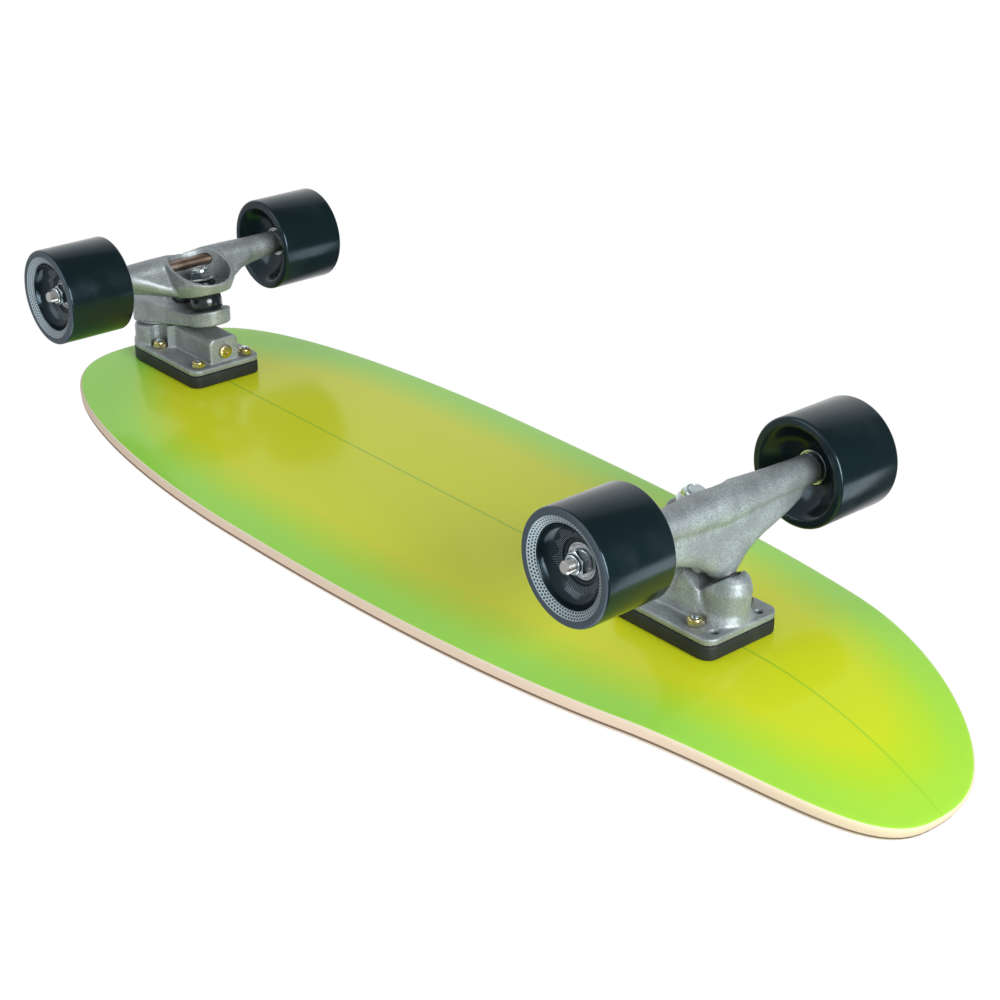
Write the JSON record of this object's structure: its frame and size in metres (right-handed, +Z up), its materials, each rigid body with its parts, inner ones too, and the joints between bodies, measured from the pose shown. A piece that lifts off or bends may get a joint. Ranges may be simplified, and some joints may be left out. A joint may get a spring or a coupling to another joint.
{
  "type": "surf skateboard",
  "caption": "Kicked wooden cruiser deck on cast trucks with wide soft wheels; the nose truck hangs from a sprung swing arm so that the board pumps and carves.",
  "frame": {"origin": "on the ground, under the middle of the board's overall box", "axes": "+X towards the nose, +Y towards the left of a rider who faces the nose, +Z up; the board stands on its wheels"},
  "size_m": [0.7852, 0.2568, 0.163],
  "materials": {
    "deck_wood": "gloss lacquer over a dyed ply",
    "griptape": "coarse grit",
    "riser": "satin",
    "cast_front": "cast and tumbled",
    "cast_rear": "cast and tumbled",
    "urethane": "gloss",
    "bearing_steel": "polished",
    "bolt_steel": "plated",
    "axle_steel": "bare, ground",
    "zinc": "yellow zinc plate",
    "spring": "oiled",
    "bushing": "gloss",
    "pivot_cup": "satin"
  },
  "bodies": {
    "board": {"deck": "deck_wood", "griptape": "griptape", "front_riser_pad": "riser", "rear_riser_pad": "riser", "front_nose_left_deck_bolt": "bolt_steel", "front_nose_left_deck_nut": "zinc", "front_nose_right_deck_bolt": "bolt_steel", "front_nose_right_deck_nut": "zinc", "front_tail_left_deck_bolt": "bolt_steel", "front_tail_left_deck_nut": "zinc", "front_tail_right_deck_bolt": "bolt_steel", "front_tail_right_deck_nut": "zinc", "rear_nose_left_deck_bolt": "bolt_steel", "rear_nose_left_deck_nut": "zinc", "rear_nose_right_deck_bolt": "bolt_steel", "rear_nose_right_deck_nut": "zinc", "rear_tail_left_deck_bolt": "bolt_steel", "rear_tail_left_deck_nut": "zinc", "rear_tail_right_deck_bolt": "bolt_steel", "rear_tail_right_deck_nut": "zinc", "front_base": "cast_front", "rear_base": "cast_rear", "swing_bolt": "bolt_steel", "swing_thrust_bearing": "bolt_steel", "return_spring": "spring", "spring_plug": "zinc", "spring_adjuster": "zinc", "rear_kingpin": "bolt_steel", "rear_lower_bushing": "bushing", "rear_upper_bushing": "bushing", "rear_cup_washer": "bolt_steel", "rear_kingpin_nut": "bolt_steel", "rear_pivot_cup": "pivot_cup"},
    "swing_arm": {"swing_arm": "cast_front", "front_kingpin": "bolt_steel", "front_lower_bushing": "bushing", "front_upper_bushing": "bushing", "front_cup_washer": "bolt_steel", "front_kingpin_nut": "bolt_steel", "front_pivot_cup": "pivot_cup"},
    "front_hanger": {"front_hanger": "cast_front", "front_axle": "axle_steel", "front_left_axle_nut": "bolt_steel", "front_right_axle_nut": "bolt_steel"},
    "rear_hanger": {"rear_hanger": "cast_rear", "rear_axle": "axle_steel", "rear_left_axle_nut": "bolt_steel", "rear_right_axle_nut": "bolt_steel"},
    "front_left_wheel": {"front_left_wheel": "urethane", "front_left_outer_bearing": "bearing_steel", "front_left_inner_bearing": "bearing_steel"},
    "front_right_wheel": {"front_right_wheel": "urethane", "front_right_outer_bearing": "bearing_steel", "front_right_inner_bearing": "bearing_steel"},
    "rear_left_wheel": {"rear_left_wheel": "urethane", "rear_left_outer_bearing": "bearing_steel", "rear_left_inner_bearing": "bearing_steel"},
    "rear_right_wheel": {"rear_right_wheel": "urethane", "rear_right_outer_bearing": "bearing_steel", "rear_right_inner_bearing": "bearing_steel"}
  },
  "joints": [
    {"name": "front_swing", "type": "hinge", "parent": "board", "child": "swing_arm", "pos_m": [0.35965, 0, 0.0841], "axis": [-0.165, 0, 0.9863], "range_deg": [-25, 25], "stiffness_Nm_per_rad": 8, "deforming": ["return_spring"]},
    {"name": "front_tilt", "type": "hinge", "parent": "swing_arm", "child": "front_hanger", "pos_m": [0.33925, 0, 0.0635], "axis": [0.9166, 0, 0.3997], "range_deg": [-12, 12], "stiffness_Nm_per_rad": 40, "deforming": ["front_lower_bushing", "front_upper_bushing"]},
    {"name": "rear_tilt", "type": "hinge", "parent": "board", "child": "rear_hanger", "pos_m": [-0.22995, 0, 0.0765], "axis": [0.7747, 0, -0.6324], "range_deg": [-12, 12], "stiffness_Nm_per_rad": 40, "deforming": ["rear_lower_bushing", "rear_upper_bushing"]},
    {"name": "front_left_roll", "type": "hinge", "parent": "front_hanger", "child": "front_left_wheel", "pos_m": [0.3283, 0.0923, 0.0345], "axis": [0, 1, 0], "continuous": true},
    {"name": "front_right_roll", "type": "hinge", "parent": "front_hanger", "child": "front_right_wheel", "pos_m": [0.3283, -0.0923, 0.0345], "axis": [0, 1, 0], "continuous": true},
    {"name": "rear_left_roll", "type": "hinge", "parent": "rear_hanger", "child": "rear_left_wheel", "pos_m": [-0.219, 0.0923, 0.0345], "axis": [0, 1, 0], "continuous": true},
    {"name": "rear_right_roll", "type": "hinge", "parent": "rear_hanger", "child": "rear_right_wheel", "pos_m": [-0.219, -0.0923, 0.0345], "axis": [0, 1, 0], "continuous": true}
  ]
}
